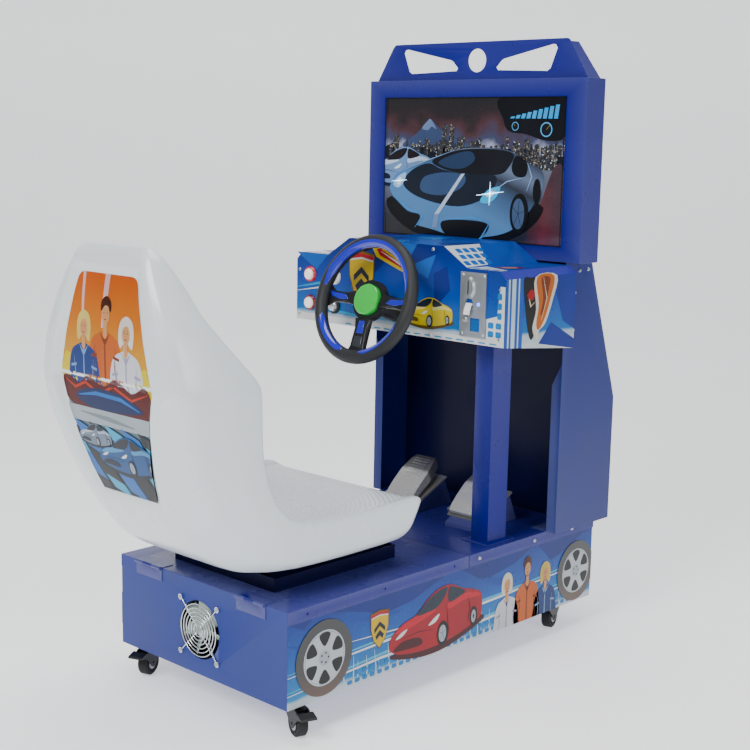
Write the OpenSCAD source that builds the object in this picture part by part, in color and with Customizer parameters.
// Sit-down racing cabinet: a wheeled base box with a hinged seat lid, a tower that carries
// the monitor, and a control box with steering wheel, buttons and coin acceptor.
// The player sits facing +Y. Sub-parts are drawn from the base box: x from its middle,
// y from its rear face, z from its underside; place() sets them down on the casters.

/* [Base] */
// Width of the base box
base_w = 480; // [440:5:560]
// Length of the base box
base_l = 920; // [900:5:1120]
// Height of the base box
base_h = 181; // [165:1:230]
// Thickness of the folded steel sheet
sheet = 1.5; // [1:0.1:2]
// Length of the hinged lid under the seat
lid_l = 492; // [430:1:520]
// Height of the folded edge round the base top
lip_h = 24; // [18:1:32]
// Slit left between lid and floor plate
lid_slit = 2; // [1.6:0.1:5]

/* [Casters] */
// Height from the floor to the base underside
caster_h = 62; // [60:1:80]
// Diameter of a caster wheel
caster_d = 50; // [40:1:50]
// Width of a caster wheel
caster_w = 20; // [16:1:26]
// Distance of the casters from the sides of the base
caster_in = 38; // [36:1:70]

/* [Tower] */
// Width over the tower's side panels
tower_w = 528; // [500:2:570]
// Depth of the tower at its foot
tower_d = 195; // [170:5:260]
// Depth of the tower at its top
tower_top_d = 90; // [80:5:120]
// How far the tower overhangs the far end of the base
tower_over = 20; // [0:1:40]
// Height of the knee in the tower's back
tower_knee = 451; // [380:1:520]
// Width of the flange beside the leg space
flange_w = 24; // [15:1:30]

/* [Monitor] */
// Width of the monitor housing
mon_w = 591; // [570:1:700]
// Height of the monitor housing
mon_h = 370; // [350:1:440]
// Depth of the monitor housing
mon_d = 64; // [50:1:85]
// Height of its lower edge above the base underside
mon_low = 752; // [720:1:850]
// Width of the visible screen
screen_w = 494; // [440:1:510]
// Height of the visible screen
screen_h = 302; // [270:1:310]

/* [Header] */
// Width of the header plate at its foot
head_w = 574; // [540:1:590]
// Width of the header plate at its top
head_top_w = 478; // [420:1:500]
// Height of the header plate
head_h = 79; // [70:1:110]

/* [Control box] */
// Width of the control box
box_w = 578; // [560:1:620]
// Depth of the control box in front of the tower
box_d = 230; // [210:1:260]
// Height of its front face at the sides
box_h = 147; // [140:1:180]
// Height of the lower edge of the front face
box_low = 601; // [590:1:640]
// Extra height of the raised middle
hump_h = 39; // [20:1:50]
// Diameter of a push button's bezel
button_d = 33; // [28:1:36]
// Width of the coin acceptor plate
coin_w = 64.5; // [60:0.5:70]
// Height of the coin acceptor plate
coin_h = 127; // [115:1:130]

/* [Steering] */
// Outer diameter of the steering wheel
wheel_d = 268; // [240:1:300]
// Radial width of the wheel's grip
grip_w = 28; // [24:1:32]
// Tilt of the steering column above level
column_tilt = 18; // [10:1:24]
// Height of the wheel's centre above the base underside
wheel_h = 676; // [660:1:700]
// Distance of the wheel's centre in front of the control box
wheel_out = 85; // [75:1:110]
// Diameter of the steering shaft
shaft_d = 20; // [16:1:24]

/* [Pedals] */
// Width of a pedal's base plate
pedal_w = 93; // [80:1:100]
// Slope of the pedal ramps
pedal_slope = 25; // [18:1:30]

/* [Seat] */
// Overall width of the seat
seat_w = 444; // [400:2:460]
// Overall height of the seat shell
seat_h = 578; // [540:2:620]
// How far the backrest reaches behind the base
seat_over = 220; // [180:1:240]
// Height of the gap between base top and seat shell
seat_gap = 52; // [48:1:80]

/* [Fan] */
// Side of the square fan
fan_w = 120; // [92:1:120]

/* [Hidden] */
$fn = 48;
tiny = 0.01;
run_gap = 0.05;          // radial clearance of a running fit
move_gap = 0.3;          // clearance between bodies that move past each other

// places that follow from the driving sizes
base_y = (seat_over - base_l - tower_over) / 2;   // rear face of the base in the part's frame
half_w = base_w / 2;
tub_half = half_w - sheet - move_gap;             // outer half width of the tub
tub_h = base_h - sheet;
tower_rear = base_l + tower_over;
tower_front = tower_rear - tower_d;
tower_half = tower_w / 2;
inner_back = tower_front + 110;                   // the leg space is 110 deep in the tower
mon_front = tower_front;
mon_top = mon_low + mon_h;
screen_low = mon_low + (mon_h - screen_h) / 2 - 3;
box_front = tower_front - box_d;
box_half = box_w / 2;
box_top = box_low + box_h;
box_fall = 21;                                    // the box floor falls towards the tower
box_slope = atan(box_fall / box_d);
wheel_y = box_front - wheel_out;
wheel_r = wheel_d / 2;
shaft_r = shaft_d / 2;
fan_z = base_h / 2 - 3;
fan_hole = fan_w * 0.4375;                        // screw pitch is 105 on a 120 fan
fan_r = fan_w / 2 - 4;
hinge_y = -4;
hinge_z = base_h;
caster_y1 = 50;
caster_y2 = base_l - 110;
caster_x = half_w - caster_in;
trail = 22;
seat_rear = -seat_over;
seat_low = base_h + seat_gap;
tray_half = 143;
tray_y = 57;
tray_l = 320;
tray_h = 26;
post_x = 191;
post_w = 44;
post_y = box_front + 96;
post_d = 60;
coin_x = 212;
coin_z = box_low + 77;
button_x = [-246, -172];
button_z = [box_low + 101, box_low + 39];
pedal_x = [98, -87];                              // gas, brake
heel_y = tower_front - 97;
heel_z = base_h + 31;

module place() translate([0, base_y, caster_h]) children();
// a bar of the outline (y, z), w wide, centred on x
module bar_x(w, x = 0) translate([x - w / 2, 0, 0]) rotate([90, 0, 90]) linear_extrude(w) children();
// a plate of the outline (x, z), t thick, whose front is at y
module plate_y(t, y = 0) translate([0, y + t, 0]) rotate([90, 0, 0]) linear_extrude(t) children();
module rod_x(r, l, at = [0, 0, 0]) translate(at) rotate([0, 90, 0]) cylinder(r = r, h = l, center = true);
module rod_y(r, l, at = [0, 0, 0]) translate(at) rotate([-90, 0, 0]) cylinder(r = r, h = l);
module tube(r, bore, l) difference() {
    cylinder(r = r, h = l);
    translate([0, 0, -1]) cylinder(r = bore, h = l + 2);
}
module mirror_x() { children(); mirror([1, 0, 0]) children(); }
// a pan-head screw whose head stands on z = 0 and whose shank goes down
module screw(r = 2, l = 6, head = 4) {
    difference() {
        cylinder(r1 = head, r2 = head * 0.7, h = head * 0.55);
        translate([-head, -0.4, head * 0.3]) cube([2 * head, 0.8, head]);
        translate([-0.4, -head, head * 0.3]) cube([0.8, 2 * head, head]);
    }
    translate([0, 0, -l]) cylinder(r = r, h = l + tiny);
}
function arc(cx, cy, r, a0, a1, n) =
    [for (i = [0 : n]) let (a = a0 + (a1 - a0) * i / n) [cx + r * cos(a), cy + r * sin(a)]];

// ---------------------------------------------------------------- base
lip_screws = [base_l - 396, base_l - 214, base_l - 80];
fan_corners = [for (sx = [-1, 1], sz = [-1, 1]) [sx * fan_hole, fan_z + sz * fan_hole]];

module base_tub() place() color("royalblue") difference() {
    translate([-tub_half, 0, 0]) cube([2 * tub_half, base_l, tub_h]);
    translate([-tub_half + sheet, sheet, sheet]) cube([2 * (tub_half - sheet), base_l - 2 * sheet, tub_h]);
    rod_y(fan_r, sheet + 2, [0, -1, fan_z]);
    for (c = fan_corners) rod_y(2.2, sheet + 2, [c[0], -1, c[1]]);
    translate([-inlet_x - inlet_w / 2, base_l - sheet - 1, inlet_z]) cube([inlet_w, sheet + 2, inlet_h]);
    mirror_x() for (y = lip_screws) rod_x(2.2, 4 * sheet, [tub_half, y, base_h - lip_h / 2]);
    for (c = caster_spots) for (sx = [-1, 1], sy = [-1, 1])
        translate([c[0] + sx * 22, c[1] + sy * 22, -1]) cylinder(r = 3.2, h = sheet + 2);
}
module top_panel(y0, y1) {
    translate([-half_w, y0, base_h - sheet]) cube([base_w, y1 - y0, sheet]);
    mirror_x() translate([half_w - sheet, y0, base_h - lip_h]) cube([sheet, y1 - y0, lip_h]);
}
module floor_plate() place() color("mediumblue") difference() {
    union() {
        top_panel(lid_l, base_l);
        translate([-half_w, base_l, base_h - lip_h]) cube([base_w, sheet, lip_h]);
    }
    mirror_x() for (y = lip_screws) rod_x(2.2, 4 * sheet, [half_w, y, base_h - lip_h / 2]);
    translate([post_x - post_w / 2 + 3, post_y - post_d / 2 + 3, base_h - 2 * sheet])
        cube([post_w - 6, post_d - 6, 4 * sheet]);
}
// all the small screws that stay with the cabinet
module panel_screws() place() color("silver") {
    for (c = fan_corners) translate([c[0], -3.9, c[1]]) rotate([90, 0, 0]) screw(1.9, 12, 4);
    for (y = lip_screws) {
        translate([half_w, y, base_h - lip_h / 2]) rotate([0, 90, 0]) screw(1.9, 6, 4);
        translate([-half_w, y, base_h - lip_h / 2]) rotate([0, -90, 0]) screw(1.9, 6, 4);
    }
    for (p = box_screws) translate([p[0], box_front, p[1]]) rotate([90, 0, 0]) screw(1.9, 6, 4);
    mirror_x() for (p = tower_screws) translate([tower_half, p[0], p[1]]) rotate([0, 90, 0]) screw(1.9, 6, 4);
    for (p = coin_screws) translate([p[0], box_front - coin_t, p[1]]) rotate([90, 0, 0]) screw(1.9, coin_t + 4, 3.5);
}
module fan_frame() place() color("dimgray") translate([0, sheet, fan_z]) difference() {
    union() {
        difference() {
            translate([-fan_w / 2, 0, -fan_w / 2]) cube([fan_w, 25, fan_w]);
            rod_y(fan_r, 27, [0, -1, 0]);
        }
        rod_y(19, 3, [0, 22, 0]);
        for (a = [45, 135]) rotate([0, a, 0]) translate([-fan_r - 1, 22, -3]) cube([2 * fan_r + 2, 3, 6]);
        rod_y(3, 20, [0, 4, 0]);
    }
    for (sx = [-1, 1], sz = [-1, 1]) rod_y(2.2, 27, [sx * fan_hole, -1, sz * fan_hole]);
}
module fan_rotor() place() color("black") translate([0, sheet, fan_z]) difference() {
    union() {
        rod_y(18, 16, [0, 5, 0]);
        intersection() {
            union() for (i = [0 : 6]) rotate([0, i * 360 / 7, 0]) translate([0, 12, 0])
                rotate([0, 0, 38]) translate([-12, -0.9, 0]) cube([24, 1.8, fan_r]);
            difference() {
                rod_y(fan_r - 2, 15, [0, 5, 0]);
                rod_y(16, 17, [0, 4, 0]);
            }
        }
    }
    rod_y(3 + run_gap, 24, [0, 4, 0]);
}
module fan_guard() place() color("silver") translate([0, 0, fan_z]) {
    wire = 1.1;
    for (r = [12 : 7.6 : 50]) rotate([90, 0, 0]) translate([0, 0, 3.4])
        rotate_extrude() translate([r * fan_w / 120, 0]) circle(r = wire, $fn = 16);
    for (a = [45, 135, 225, 315]) rotate([0, a, 0]) {
        rod_x(wire, fan_hole * sqrt(2) - 10, [(fan_hole * sqrt(2) - 10) / 2 + 6, -1.9, 0]);
        rotate([90, 0, 0]) translate([fan_hole * sqrt(2), 0, 0]) tube(5.5, 2.2, 3.9);
    }
}
inlet_x = 150;
inlet_z = 62;
inlet_w = 28;
inlet_h = 48;
// mains socket with its rocker above it, in the end wall below the tower
module mains_inlet() place() color("black") translate([-inlet_x, base_l, inlet_z]) difference() {
    union() {
        translate([-inlet_w / 2 - 8, 0, -5]) cube([inlet_w + 16, 3, inlet_h + 10]);
        translate([-inlet_w / 2 + 0.2, -30, 0.2]) cube([inlet_w - 0.4, 31, inlet_h - 0.4]);
    }
    translate([-12, -14, 3]) cube([24, 20, 17]);
    translate([-7.5, -12, 26]) cube([15, 20, 18]);
}
module power_rocker() place() color("black") translate([-inlet_x, base_l, inlet_z + 35])
    rotate([8, 0, 0]) {
        bar_x(14) polygon([[-4, -6], [-4, 6], [3.5, 7.6], [2.4, 0], [3.5, -7.6]]);
        rod_x(1.6, 14);
    }
module power_supply() place() color("silver") translate([-200, 150, sheet]) difference() {
    cube([150, 140, 86]);
    for (i = [0 : 6]) translate([20 + i * 16, -1, 20]) cube([8, 3, 46]);
    for (i = [0 : 4]) translate([-1, 30 + i * 18, 20]) cube([3, 9, 46]);
}
module game_computer() place() color("gray") translate([20, 110, sheet]) {
    difference() {
        cube([190, 240, 62]);
        for (i = [0 : 8]) translate([-1, 30 + i * 20, 12]) cube([3, 10, 38]);
    }
    translate([60, 80, 62]) for (i = [0 : 8]) translate([i * 8, 0, 0]) cube([3, 70, 18]);
}
module cash_box() place() color("silver") translate([post_x - 70, post_y - 70, sheet]) difference() {
    cube([100, 140, 120]);
    translate([sheet, sheet, sheet]) cube([100 - 2 * sheet, 140 - 2 * sheet, 120]);
}

// ---------------------------------------------------------------- seat and lid
hinge_x = [-150, 143];
hinge_l = 78;
module knuckle(x0, l, bore) translate([x0, hinge_y, hinge_z]) rotate([0, 90, 0]) tube(3.5, bore, l);
module hinge_leaves() place() color("royalblue") for (x = hinge_x) {
    difference() {
        union() {
            translate([x - hinge_l / 2, -sheet, hinge_z - 26]) cube([hinge_l, sheet, 25]);
            rod_x(3.5, hinge_l, [x, hinge_y, hinge_z]);
        }
        translate([x - 13, hinge_y - 5, hinge_z - 5]) cube([26, 10, 10]);
        rod_x(1.8, hinge_l + 2, [x, hinge_y, hinge_z]);
    }
    rod_x(1.75, hinge_l, [x, hinge_y, hinge_z]);
}
module seat_lid() place() color("mediumblue") {
    difference() {
        top_panel(0, lid_l - lid_slit);
        mirror_x() for (y = [46, lid_l / 2, lid_l - 46]) rod_x(2.2, 4 * sheet, [half_w, y, base_h - lip_h / 2]);
    }
    for (x = hinge_x) difference() {
        union() {
            translate([x - hinge_l / 2, 0.2, base_h]) cube([hinge_l, 26, sheet]);
            translate([x - 12.7, -1.5, base_h]) cube([25.4, 3, sheet]);
            rod_x(3.5, 25.4, [x, hinge_y, hinge_z]);
        }
        rod_x(1.8, hinge_l, [x, hinge_y, hinge_z]);
    }
}
riser_w = 30;
module seat_tray() place() color("navy") {
    translate([0, 0, base_h]) difference() {
        translate([-tray_half, tray_y, 0]) cube([2 * tray_half, tray_l, tray_h]);
        translate([-tray_half + 2, tray_y + 2, 2]) cube([2 * tray_half - 4, tray_l - 4, tray_h]);
    }
    for (x = [-100, 100]) difference() {
        translate([x - riser_w / 2, tray_y + 14, base_h + 2]) cube([riser_w, tray_l - 28, seat_gap - 2]);
        translate([x - riser_w / 2 + 2, tray_y, base_h]) cube([riser_w - 4, tray_l, seat_gap - 2]);
        for (y = [tray_y + 40, tray_y + tray_l - 40])
            translate([x, y, base_h + seat_gap - 6]) cylinder(r = 4.2, h = 10);
    }
}
module seat_bolts() place() color("silver")
    for (x = [-100, 100], y = [tray_y + 40, tray_y + tray_l - 40]) translate([x, y, base_h + seat_gap]) {
        translate([0, 0, -12]) cylinder(r = 4, h = 12);
        translate([0, 0, -7.3]) cylinder(r = 7.5, h = 5.3, $fn = 6);
    }

// The seat is a skin swept from the front lip, along the pan and up the backrest. Each station has
// its outer middle, its wing tip and its inner middle, as distances forward of the rearmost plane
// and above the underside, then the half width over the wings and of the flat outside.
// [outer y, outer z,  tip y, tip z,  inner y, inner z,  half width, flat half width]
seat_stations = [
    [594, 50, 600, 74, 600, 71, 208, 168],
    [564, 2, 586, 86, 580, 80, 216, 192],
    [510, 0, 520, 86, 516, 78, 219, 196],
    [400, 0, 400, 84, 400, 66, 220, 198],
    [300, 0, 292, 89, 300, 58, 219, 196],
    [240, 0, 244, 106, 226, 56, 218, 182],
    [190, 0, 212, 138, 156, 64, 217, 140],
    [132, 33, 194, 181, 118, 92, 218, 112],
    [80, 97, 183, 219, 90, 134, 220, 116],
    [38, 184, 179, 258, 66, 196, 222, 138],
    [8, 276, 178, 302, 42, 276, 222, 160],
    [0, 336, 176, 346, 32, 340, 221, 172],
    [1, 416, 126, 407, 30, 416, 197, 154],
    [7, 476, 92, 458, 35, 476, 170, 126],
    [16, 526, 76, 512, 43, 524, 136, 104],
    [26, 556, 58, 550, 50, 552, 112, 88],
    [36, 568, 47, 567, 48, 567, 92, 74]];
tip_t = 17;
function mix(a, b, t) = a + (b - a) * t;
function station_half(s) = let (
    k = seat_w / 444, kz = seat_h / 568, o = [s[0], s[1] * kz], t = [s[2], s[3] * kz],
    i = [s[4], s[5] * kz], w = s[6] * k, f = s[7] * k,
    p = function (x, q) [x, q[0], q[1]]) [
    p(0, o), p(f * 0.6, o), p(f, mix(o, t, 0.02)), p(mix(f, w, 0.62), mix(o, t, 0.18)),
    p(mix(f, w, 0.95), mix(o, t, 0.66)), p(w, t), p(w - tip_t, t),
    p(mix(f, w, 0.6) - tip_t, mix(i, t, 0.42)), p(f - 4, mix(i, t, 0.06)), p(f * 0.5, i), p(0, i)];
// a full ring: right half from outer middle to inner middle, then the left half back
function station_ring(s) = let (h = station_half(s), n = len(h)) concat(
    h, [for (j = [n - 2 : -1 : 1]) [-h[j][0], h[j][1], h[j][2]]]);
module seat_shell() place() color("white") translate([0, seat_rear, seat_low]) {
    n = len(station_ring(seat_stations[0]));
    m = len(seat_stations);
    points = [for (s = seat_stations) each station_ring(s)];
    sides = [for (k = [0 : m - 2], j = [0 : n - 1]) let (
        a = k * n + j, b = k * n + (j + 1) % n, c = a + n, d = b + n) each [[a, c, b], [b, c, d]]];
    polyhedron(points, concat(sides, end_cap(0, false), end_cap((m - 1) * n, true)));
}
// closes an end ring with faces between its outer and inner points
function end_cap(base, up) = let (
    quads = [[0, 1, 9, 10], [1, 2, 8, 9], [2, 3, 7, 8], [3, 4, 6, 7],
        [19, 0, 10, 11], [18, 19, 11, 12], [17, 18, 12, 13], [16, 17, 13, 14]],
    tris = concat([for (q = quads) each [[q[0], q[1], q[2]], [q[0], q[2], q[3]]]],
        [[4, 5, 6], [16, 14, 15]]))
    [for (t = tris) up ? [base + t[2], base + t[1], base + t[0]] : [base + t[0], base + t[1], base + t[2]]];

// ---------------------------------------------------------------- casters
caster_spots = [[caster_x, caster_y1], [-caster_x, caster_y1], [caster_x, caster_y2], [-caster_x, caster_y2]];
caster_turns = [70, 20, -165, 170];               // direction of each trail, 0 is -Y
axle_z = caster_d / 2 - caster_h;
fork_half = caster_w / 2 + 1;
axle_r = 3;
module at_caster(i) place() translate([caster_spots[i][0], caster_spots[i][1], 0])
    rotate([0, 0, caster_turns[i]]) children();
module caster_plates() place() color("silver") for (c = caster_spots) translate([c[0], c[1], 0]) {
    difference() {
        union() {
            translate([-29, -29, -2.5]) cube([58, 58, 2.5]);
            translate([0, 0, -6.7]) cylinder(r1 = 17, r2 = 20, h = 4.3);
            translate([0, 0, -10.5]) cylinder(r = 4, h = 8);
            translate([0, 0, -12]) cylinder(r = 6.5, h = 2);
        }
        for (sx = [-1, 1], sy = [-1, 1]) translate([sx * 22, sy * 22, -3]) cylinder(r = 3.2, h = 4);
    }
    for (sx = [-1, 1], sy = [-1, 1]) translate([sx * 22, sy * 22, 0]) {
        translate([0, 0, -5]) cylinder(r = 3, h = 5 + sheet);
        translate([0, 0, -6.5]) cylinder(r = 5.5, h = 4, $fn = 6);
    }
}
module caster_fork(i) at_caster(i) color("black") difference() {
    union() {
        translate([0, 0, -9.5]) cylinder(r = 18, h = 2.5);
        translate([-fork_half - 2.5, -trail - 16, -9.5]) cube([2 * fork_half + 5, trail + 26, 2.5]);
        for (x = [-fork_half - 1.25, fork_half + 1.25]) bar_x(2.5, x) difference() {
            polygon(concat([[14, -8], [14, -12]], arc(-trail, axle_z, 8, -20, -160, 10),
                [[brake_y - 5, brake_z - 4], [brake_y - 5, brake_z + 3], [brake_y + 3, -8]]));
            translate([brake_y, brake_z]) circle(r = 2 + run_gap);
        }
        rod_x(axle_r, 2 * fork_half + 7, [0, -trail, axle_z]);
    }
    translate([0, 0, -12]) cylinder(r = 4 + run_gap, h = 6);
}
module caster_wheel(i) at_caster(i) color("dimgray") translate([0, -trail, axle_z]) rotate([0, 90, 0]) {
    r = caster_d / 2;
    w = caster_w / 2;
    // half of the tread's section, from the bore out; a groove parts hub and tyre
    side = [[axle_r + run_gap, w], [r - 10, w], [r - 10, w - 2], [r - 7, w], [r - 2, w], [r, w - 2]];
    rotate_extrude() polygon(concat([for (q = side) q],
        [for (k = [len(side) - 1 : -1 : 0]) [side[k][0], -side[k][1]]]));
}
brake_y = -trail - 22;
brake_z = axle_z + 20;
// a treadle across the fork; its nose is pushed down towards the tread
module caster_brake(i) at_caster(i) color("black") translate([0, brake_y, brake_z]) {
    for (x = [-fork_half - 3.8, fork_half + 3.8]) bar_x(2, x)
        polygon([[4, -4], [5, 3], [-4, 8], [-20, 4], [-19, 0], [-4, -4]]);
    bar_x(2 * fork_half + 9.6) polygon([[-8, 9], [-25, 4.5], [-27, 1], [-24, 1.5], [-8, 6]]);
    bar_x(2 * fork_half - 1) polygon([[-8, 6], [-14, 4.5], [-9, -2], [1, -2.5], [2, 1.5]]);
    rod_x(2, 2 * fork_half + 9.6);
}
module caster_fork_rr() caster_fork(0);
module caster_fork_rl() caster_fork(1);
module caster_fork_fr() caster_fork(2);
module caster_fork_fl() caster_fork(3);
module caster_wheel_rr() caster_wheel(0);
module caster_wheel_rl() caster_wheel(1);
module caster_wheel_fr() caster_wheel(2);
module caster_wheel_fl() caster_wheel(3);
module caster_brake_rr() caster_brake(0);
module caster_brake_rl() caster_brake(1);

// ---------------------------------------------------------------- tower
tower_screws = [[tower_front + 33, box_low + 88], [tower_front + 32, box_low + 10],
    [tower_front + 48, mon_low - 18], [tower_front + 79, mon_low - 17]];
flange_end = box_low - 57;                        // top of the flange beside the leg space
tower_shape = [[tower_front, base_h], [tower_rear, base_h], [tower_rear, tower_knee],
    [tower_front + tower_top_d, mon_low], [tower_front, mon_low]];
module tower_side() difference() {
    union() {
        bar_x(sheet, tower_half - sheet / 2) polygon(tower_shape);
        // flange towards the player, cut away on the slant at its top
        plate_y(sheet, tower_front) polygon([[tower_half - flange_w, base_h], [tower_half, base_h],
            [tower_half, flange_end], [tower_half - flange_w, flange_end - 2 * flange_w]]);
        // foot and rear flanges
        translate([half_w - 40, tower_front, base_h]) cube([tower_half - half_w + 40, tower_d - 30, sheet]);
        translate([tower_half - 16, tower_rear - 2 * sheet - tiny, base_h]) cube([16, sheet, tower_knee - base_h - 6]);
    }
    for (p = tower_screws) rod_x(2.2, 4 * sheet, [tower_half, p[0], p[1]]);
}
module tower_side_right() place() color("mediumblue") tower_side();
module tower_side_left() place() color("mediumblue") mirror([1, 0, 0]) tower_side();
module tower_inner_back() place() color("midnightblue") {
    w = tower_w - 2 * sheet;
    translate([-w / 2, inner_back, base_h + sheet]) cube([w, sheet, box_low - 20 - base_h]);
    translate([-w / 2, tower_front + 60, box_low - 20]) cube([w, inner_back - tower_front - 60 + sheet, sheet]);
}
module tower_back() place() color("mediumblue") difference() {
    bar_x(tower_w - 2 * sheet - 0.2) polygon([[tower_rear, base_h], [tower_rear, tower_knee],
        [tower_front + tower_top_d, mon_low], [mon_front + mon_d + 0.5, mon_low],
        [mon_front + mon_d + 0.5, mon_low - sheet], [tower_front + tower_top_d - 1, mon_low - sheet],
        [tower_rear - sheet, tower_knee - 0.3], [tower_rear - sheet, base_h]]);
    for (i = [0 : 7]) translate([-60, tower_rear - 5, base_h + 60 + i * 16]) cube([120, 10, 6]);
}
function box_floor(y) = box_low - (y - box_front) * box_fall / box_d;
// a square tube from the floor plate to the control box, down which the coins drop
module coin_post() place() color("mediumblue") {
    y0 = post_y - post_d / 2;
    y1 = post_y + post_d / 2;
    difference() {
        bar_x(post_w, post_x) polygon([[y0, base_h], [y1, base_h], [y1, box_floor(y1)], [y0, box_floor(y0)]]);
        translate([post_x - post_w / 2 + sheet, y0 + sheet, base_h - 1])
            cube([post_w - 2 * sheet, post_d - 2 * sheet, box_low - base_h + 2]);
    }
    difference() {
        translate([post_x - post_w / 2 - 14, y0 - 14, base_h]) cube([post_w + 28, post_d + 28, 2]);
        translate([post_x - post_w / 2 + 1, y0 + 1, base_h - 1]) cube([post_w - 2, post_d - 2, 4]);
    }
}

// ---------------------------------------------------------------- control box
hump_top = 131;
hump_foot = 193;
corner = 15;
box_screws = [[277, box_low + 112], [277, box_low + 15], [-280, box_low + 109], [-280, box_low + 12],
    [101, box_low + 6], [-101, box_low + 6], [103, box_top + 31], [-103, box_top + 31]];
coin_screws = [for (sx = [-1, 1], sz = [-1, 1])
    [coin_x + sx * (coin_w / 2 - 6), coin_z + sz * (coin_h / 2 - 6)]];
box_shape = [[-box_half, box_low], [box_half, box_low], [box_half, box_top - corner],
    [box_half - corner, box_top], [hump_foot, box_top], [hump_top, box_top + hump_h],
    [-hump_top, box_top + hump_h], [-hump_foot, box_top], [-box_half + corner, box_top],
    [-box_half, box_top - corner]];
// the room above the box floor raised by t, from y0 to y1
module above_floor(t, y0, y1) bar_x(box_w + 10) let (high = box_top + hump_h + 5)
    polygon([[y0, box_floor(y0) + t], [y1, box_floor(y1) + t], [y1, high], [y0, high]]);
// the same outline, smaller all round by the sheet
inner_shape = [[-box_half + sheet, box_low - box_fall - 5], [box_half - sheet, box_low - box_fall - 5],
    [box_half - sheet, box_top - corner - 0.6 * sheet], [box_half - corner - 0.6 * sheet, box_top - sheet],
    [hump_foot - 0.3 * sheet, box_top - sheet], [hump_top - 0.3 * sheet, box_top + hump_h - sheet],
    [-hump_top + 0.3 * sheet, box_top + hump_h - sheet], [-hump_foot + 0.3 * sheet, box_top - sheet],
    [-box_half + corner + 0.6 * sheet, box_top - sheet], [-box_half + sheet, box_top - corner - 0.6 * sheet]];
module control_box() place() color("royalblue") difference() {
    union() {
        difference() {
            intersection() {
                plate_y(box_d, box_front)
                    polygon([for (p = box_shape) [p[0], p[1] - (p[1] == box_low ? box_fall + 5 : 0)]]);
                above_floor(0, box_front, tower_front);
            }
            intersection() {
                plate_y(box_d, box_front + sheet) polygon(inner_shape);
                above_floor(sheet, box_front, tower_front + 9);
            }
        }
        // flanges turned in where the box meets the tower
        mirror_x() translate([tower_half - 14, tower_front - sheet, box_floor(tower_front)])
            cube([box_half - tower_half + 14 - sheet / 2, sheet, box_top - corner - box_floor(tower_front)]);
    }
    for (x = button_x, z = button_z) rod_y(button_d / 2 - 3, 4, [x, box_front - 1, z]);
    translate([coin_x - coin_w / 2 + 5, box_front - 1, coin_z - coin_h / 2 + 12]) cube([coin_w - 10, 4, coin_h - 24]);
    on_column() translate([0, 0, -150]) cylinder(r = boss_r + 0.3, h = 150);
    for (p = concat(box_screws, coin_screws)) rod_y(2.2, 4, [p[0], box_front - 1, p[1]]);
    translate([post_x - post_w / 2 + 4, post_y - post_d / 2 + 4, box_low - 40]) cube([post_w - 8, post_d - 8, 60]);
    for (sx = [-1, 1], i = [-2 : 2]) on_box_floor(sx * speaker_x)
        translate([-20, i * 10 - 2.5, -5]) cube([40, 5, 10]);
}
speaker_x = 90;
speaker_r = 38;
module on_box_floor(x) translate([x, box_front, box_low]) rotate([-box_slope, 0, 0]) translate([0, 165, 0]) children();
module speakers() place() color("dimgray") for (sx = [-1, 1]) on_box_floor(sx * speaker_x)
    translate([0, 0, sheet]) rotate_extrude() polygon([[26, 0], [speaker_r, 0], [speaker_r, 3], [28, 5], [18, 20],
        [18, 34], [0, 34], [0, 14], [10, 12]]);

// ---------------------------------------------------------------- coin acceptor
coin_t = 4;
module coin_plate() place() color("silver") translate([coin_x, box_front, coin_z]) difference() {
    union() {
        translate([-coin_w / 2, -coin_t, -coin_h / 2]) cube([coin_w, coin_t, coin_h]);
        // oval boss round the coin slot
        translate([-9, -coin_t, 33]) rotate([90, 0, 0]) scale([1, 1.5, 1]) cylinder(r1 = 15, r2 = 12, h = 5);
        rod_y(8, 6, [-17, -coin_t - 2, -30]);
    }
    translate([-10.5, -20, 20]) cube([3, 30, 27]);
    // slot behind the lever, light window and return cup
    translate([-16, -20, 6]) cube([14, 30, 5]);
    rod_y(4, 30, [14, -20, 2]);
    translate([-18.3, -20, -6]) cube([18.6, 30, 12]);
    translate([-6, -coin_t - 1, -52]) cube([24, coin_t + 6, 26]);
    for (sx = [-1, 1], sz = [-1, 1]) rod_y(2.2, 20, [sx * (coin_w / 2 - 6), -10, sz * (coin_h / 2 - 6)]);
    rod_y(3, 20, [-17, -12, -30]);
}
module coin_mech() place() color("dimgray") translate([coin_x, box_front + sheet, coin_z]) {
    difference() {
        union() {
            translate([-coin_w / 2 + 6, 0, -coin_h / 2 + 13]) cube([coin_w - 12, 52, coin_h - 26]);
            translate([-coin_w / 2, 0, -coin_h / 2 + 12]) cube([coin_w, 2, coin_h - 24]);
        }
        translate([-11, -1, 18]) cube([4, 45, 30]);
        translate([-30, -1, -13]) cube([36, 14, 26]);
        translate([-8, -1, -48]) cube([30, 30, 22]);
    }
    // the chute that leads the coins back to the post
    translate([post_x - coin_x - 14, 0, 0]) rotate([90, 0, 90]) linear_extrude(28)
        polygon([[52, -10], [52, -42], [66, -61], [100, -61], [100, -50]]);
}
lever_x = coin_x - 9;
lever_z = coin_z + 0.5;
// presses the trapped coin out; it turns on a pin across the slot
module coin_return_lever() place() color("white") translate([lever_x, box_front, lever_z]) {
    bar_x(14, 0) polygon(concat(arc(0, 0, 2, -60, 60, 4), [[-5, 3], [-12, -12], [-13, -20], [-10.5, -20], [-9, -12],
        [-5, -3.4], [0, -2]]));
    rod_x(1, 18);
}

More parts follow.
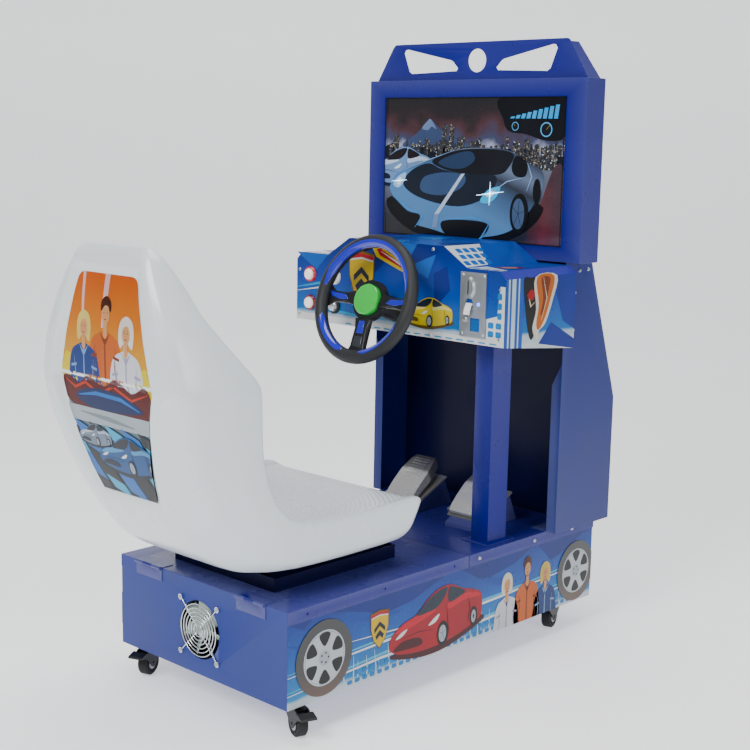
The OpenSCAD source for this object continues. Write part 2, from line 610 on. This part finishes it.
// ---------------------------------------------------------------- buttons
cap_r = button_d / 2 - 5;
module button_housings() place() color("white") for (x = button_x, z = button_z) translate([x, box_front, z])
    rotate([90, 0, 0]) difference() {
        union() {
            rotate_extrude() polygon([[0, 0], [button_d / 2, 0], [button_d / 2, 2.5], [button_d / 2 - 2, 5], [0, 5]]);
            translate([0, 0, -38]) cylinder(r = button_d / 2 - 3.2, h = 38.5);
            translate([0, 0, -sheet - 6]) cylinder(r = button_d / 2 + 1, h = 6, $fn = 6);
        }
        translate([0, 0, -8]) cylinder(r = cap_r + move_gap, h = 20);
    }
module button_cap(x, z, shade) place() color(shade) translate([x, box_front, z]) rotate([90, 0, 0])
    rotate_extrude() polygon(concat([[0, -2], [cap_r, -2], [cap_r, 8]], [[cap_r - 0.7, 9.6], [cap_r - 2.5, 10.8],
        [cap_r / 2, 11.8], [0, 12]]));
module button_cap_1() button_cap(button_x[0], button_z[0], "white");
module button_cap_2() button_cap(button_x[1], button_z[0], "white");
module button_cap_3() button_cap(button_x[0], button_z[1], "white");
module button_cap_4() button_cap(button_x[1], button_z[1], "silver");

// ---------------------------------------------------------------- steering
boss_r = 24;
// z runs along the column towards the player, y up the wheel's face
module on_column() translate([0, wheel_y, wheel_h]) rotate([90 - column_tilt, 0, 0]) children();
column_in = wheel_out / cos(column_tilt);         // wheel centre to the control box face
bearing_end = column_in + 70;
module steering_bearing() place() color("black") difference() {
    union() {
        on_column() translate([0, 0, -bearing_end]) cylinder(r = boss_r, h = bearing_end - 38);
        translate([-55, box_front + sheet, wheel_h - wheel_out * tan(column_tilt) - 35]) cube([110, 5, 80]);
    }
    on_column() translate([0, 0, -bearing_end - 1]) cylinder(r = shaft_r + run_gap, h = bearing_end);
}
module steering_shaft() place() color("silver") on_column() {
    translate([0, 0, -bearing_end - 16]) cylinder(r = shaft_r, h = bearing_end + 16 - 24);
    translate([0, 0, -30]) cylinder(r = shaft_r + 5, h = 6);
}
module wheel_frame() place() color("black") on_column() difference() {
    union() {
        translate([0, 0, -24]) cylinder(r = 42, h = 14);
        for (a = [0, 180]) rotate([0, 0, a]) translate([30, -11, -18]) cube([wheel_r - grip_w - 22, 22, 8]);
        translate([-17, -wheel_r + grip_w - 8, -18]) cube([34, wheel_r - grip_w - 22, 8]);
    }
    translate([0, 0, -15]) cylinder(r = horn_r + move_gap, h = 20);
    for (a = [30 : 60 : 330]) rotate([0, 0, a]) translate([27, 0, -30]) cylinder(r = 2.6, h = 20);
}
module wheel_rim() place() color("black") on_column() rotate_extrude($fn = 96)
    translate([wheel_r - grip_w / 2, 0]) scale([1, 0.93]) circle(r = grip_w / 2, $fn = 40);
horn_r = 32;
module horn_cap() place() color("limegreen") on_column() rotate_extrude()
    polygon(concat([[0, -11], [horn_r, -11], [horn_r, -3]], arc(horn_r - 4, -3, 4, 0, 80, 5), [[18, 2.2], [0, 3]]));

// involute gear teeth: module m, n teeth, with some backlash
function involute(rb, t) = [rb * (cos(t) + t * PI / 180 * sin(t)), rb * (sin(t) - t * PI / 180 * cos(t))];
function turn2(p, a) = [p[0] * cos(a) - p[1] * sin(a), p[0] * sin(a) + p[1] * cos(a)];
module gear(m, n, h, bore) {
    r = m * n / 2;
    rb = r * cos(20);
    ro = r + 0.9 * m;
    rf = r - 1.2 * m;
    t_pitch = sqrt(pow(r / rb, 2) - 1) * 180 / PI;
    t_out = sqrt(pow(ro / rb, 2) - 1) * 180 / PI;
    pitch_turn = t_pitch - 20;
    half = 90 / n - 0.06 * m / r * 180 / PI + pitch_turn;
    flank = [for (i = [0 : 4]) turn2(involute(rb, t_out * i / 4), -half)];
    tooth = concat([[rf * cos(half), -rf * sin(half)]], flank,
        [for (i = [4 : -1 : 0]) [flank[i][0], -flank[i][1]]], [[rf * cos(half), rf * sin(half)]]);
    difference() {
        linear_extrude(h) union() {
            circle(r = rf + 0.02);
            for (k = [0 : n - 1]) rotate(k * 360 / n) polygon(tooth);
        }
        translate([0, 0, -1]) cylinder(r = bore, h = h + 2);
    }
}
gear_m = 1.5;
big_teeth = 24;
small_teeth = 12;
gear_z = -bearing_end - 12;
pot_y = gear_m * (big_teeth + small_teeth) / 2;
module shaft_gear() place() color("ivory") on_column() translate([0, 0, gear_z])
    rotate([0, 0, 90]) gear(gear_m, big_teeth, 8, shaft_r);
module pot_gear() place() color("ivory") on_column() translate([0, pot_y, gear_z])
    rotate([0, 0, -90 + 180 / small_teeth]) gear(gear_m, small_teeth, 8, 3 + run_gap);
// sensor turned by the small gear, on a bracket from the bearing housing
module steering_pot() place() color("gray") on_column() {
    translate([0, pot_y, gear_z - 4 - tiny]) cylinder(r = 3, h = 12);
    translate([0, pot_y, gear_z - 16]) cylinder(r = 12.5, h = 12);
    translate([-8, pot_y + 11, gear_z - 16]) cube([16, 4, 28]);
    translate([-8, boss_r - 4, gear_z + 8.5]) cube([16, pot_y + 19 - boss_r, 3.5]);
}

// ---------------------------------------------------------------- pedals
plate_t = 4;
plate_l = 116;
plate_drop = 8;                                   // plate top below the pedal's pin
pin_r = 3;
module at_pedal(i) place() translate([pedal_x[i], heel_y, heel_z]) rotate([pedal_slope, 0, 0]) children();
function slope_z(y, v) = heel_z + (y - heel_y) * tan(pedal_slope) + v / cos(pedal_slope);
module pedal_ramps() place() color("mediumblue") for (x = pedal_x) bar_x(pedal_w - 18, x)
    let (y0 = heel_y - 22, y1 = heel_y + 100, v = -plate_drop - plate_t)
    polygon([[y0, base_h], [y1 + 30, base_h], [y1, slope_z(y1, v)], [y0, max(base_h + 3, slope_z(y0, v))]]);
module pedal_plates() for (i = [0, 1]) at_pedal(i) color("silver") {
    difference() {
        union() {
            translate([-pedal_w / 2, -10, -plate_drop - plate_t]) cube([pedal_w, plate_l, plate_t]);
            for (x = [-pedal_w / 2 + 1, pedal_w / 2 - 6]) translate([x, -6, -plate_drop - 1]) cube([5, 12, 13]);
        }
        rod_x(pin_r, pedal_w + 2);
    }
    rod_x(pin_r, pedal_w);
}
tread_w = pedal_w - 16;
shell_t = 3;
tread_shape = concat([[-6, -4], [-7, 3]], [[4, 11], [24, 18.5], [48, 25.5], [72, 31.5], [94, 36], [104, 37]],
    [[110, 35], [112, 30], [107, 13]]);
hollow_shape = [[5, -6], [4.5, 6], [24, 15], [48, 22], [72, 28], [94, 32.5], [104, 33.5], [107.5, 31], [103, 8]];
module pedal_body() difference() {
    union() {
        intersection() {
            bar_x(tread_w) polygon(tread_shape);
            // the sides draw in towards the toe
            translate([0, 0, -20]) linear_extrude(80) polygon([[-tread_w / 2, -12], [tread_w / 2, -12],
                [tread_w / 2, 60], [tread_w / 2 - 6, 92], [tread_w / 2 - 14, 114], [-tread_w / 2 + 14, 114],
                [-tread_w / 2 + 6, 92], [-tread_w / 2, 60]]);
        }
        for (k = [0 : 6]) intersection() {
            bar_x(tread_w - 34) polygon([[46 + k * 8, 20], [50 + k * 8, 20], [50 + k * 8, 60], [46 + k * 8, 60]]);
            bar_x(tread_w) polygon([for (p = tread_shape) [p[0], p[1] + 1.4]]);
        }
    }
    bar_x(tread_w - 2 * shell_t - 22) polygon(hollow_shape);
    rod_x(pin_r + run_gap, pedal_w);
}
module gas_pedal() at_pedal(0) color("gainsboro") pedal_body();
module brake_pedal() at_pedal(1) color("gainsboro") pedal_body();
spring_r = 8;
module pedal_spring() translate([0, 62, -plate_drop]) for (k = [0 : 4]) translate([0, 0, 1.1 + k * 5.4])
    rotate_extrude() translate([spring_r, 0]) circle(r = 1.1, $fn = 16);
module spring_stack() {
    pedal_spring();
    // the rising wire that joins the coils
    for (x = [-spring_r, spring_r]) translate([x, 62, -plate_drop + 1.1]) cylinder(r = 1, h = 21.6);
}
module gas_spring() at_pedal(0) color("gray") spring_stack();
module brake_spring() at_pedal(1) color("gray") spring_stack();

// ---------------------------------------------------------------- monitor and header
module monitor_shell() place() color("mediumblue") difference() {
    translate([-mon_w / 2, mon_front, mon_low]) cube([mon_w, mon_d - sheet, mon_h]);
    translate([-mon_w / 2 + sheet, mon_front + sheet, mon_low + sheet])
        cube([mon_w - 2 * sheet, mon_d, mon_h - 2 * sheet]);
    translate([-screen_w / 2, mon_front - 1, screen_low]) cube([screen_w, sheet + 2, screen_h]);
}
module lcd_panel() place() color("black") {
    translate([-screen_w / 2 - 12, mon_front + sheet, screen_low - 12]) cube([screen_w + 24, 14, screen_h + 24]);
    translate([-120, mon_front + sheet + 14, screen_low + 40]) cube([240, mon_d - 3 * sheet - 13, 200]);
}
module monitor_back() place() color("mediumblue") difference() {
    translate([-mon_w / 2, mon_front + mon_d - sheet, mon_low]) cube([mon_w, sheet, mon_h]);
    for (sx = [-1, 1], i = [0 : 9]) translate([sx * 190 - 50, mon_front + mon_d - 3 * sheet, mon_low + 90 + i * 18])
        cube([100, 6 * sheet, 7]);
}
head_back = 15;                                   // header plate behind the monitor's face
flange_low = 43;
flange_top = 27;
module marquee() place() color("mediumblue") translate([0, mon_front + head_back, mon_top]) {
    top = head_h;
    difference() {
        plate_y(2) polygon(concat([[-head_w / 2, 0], [head_w / 2, 0]],
            arc(head_top_w / 2 - 8, top - 10, 10, 20, 90, 5), arc(-head_top_w / 2 + 8, top - 10, 10, 90, 160, 5)));
        rod_y(24.5, 8, [0, -3, 40]);
        mirror_x() plate_y(8, -3) polygon([[56, 19], [185, 15], [193, 20], [209, 60], [205, 67],
            [197, 68], [72, 42], [66, 39], [52, 25]]);
    }
    // the ends fold back and the foot folds under
    mirror_x() intersection() {
        plate_y(flange_low) polygon([[head_w / 2 - 2, 0], [head_w / 2, 0],
            [head_top_w / 2 + 2.6, top - 6], [head_top_w / 2 + 0.4, top - 6]]);
        bar_x(head_w + 2) polygon([[0, 0], [flange_low, 0], [flange_top, top - 6], [0, top - 6]]);
    }
    translate([-head_w / 2 + 2, 0, 0]) cube([head_w - 4, 22, 2]);
}

base_tub();
floor_plate();
panel_screws();
fan_frame();
fan_guard();
fan_rotor();
power_supply();
game_computer();
mains_inlet();
power_rocker();
cash_box();
hinge_leaves();
seat_lid();
seat_tray();
seat_bolts();
seat_shell();
caster_plates();
caster_fork_rr();
caster_wheel_rr();
caster_brake_rr();
caster_fork_rl();
caster_wheel_rl();
caster_brake_rl();
caster_fork_fr();
caster_wheel_fr();
caster_fork_fl();
caster_wheel_fl();
tower_side_right();
tower_side_left();
tower_inner_back();
tower_back();
coin_post();
control_box();
speakers();
coin_plate();
coin_mech();
coin_return_lever();
button_housings();
button_cap_1();
button_cap_2();
button_cap_3();
button_cap_4();
steering_bearing();
steering_shaft();
wheel_frame();
wheel_rim();
horn_cap();
shaft_gear();
pot_gear();
steering_pot();
pedal_ramps();
pedal_plates();
gas_pedal();
brake_pedal();
gas_spring();
brake_spring();
monitor_shell();
lcd_panel();
monitor_back();
marquee();
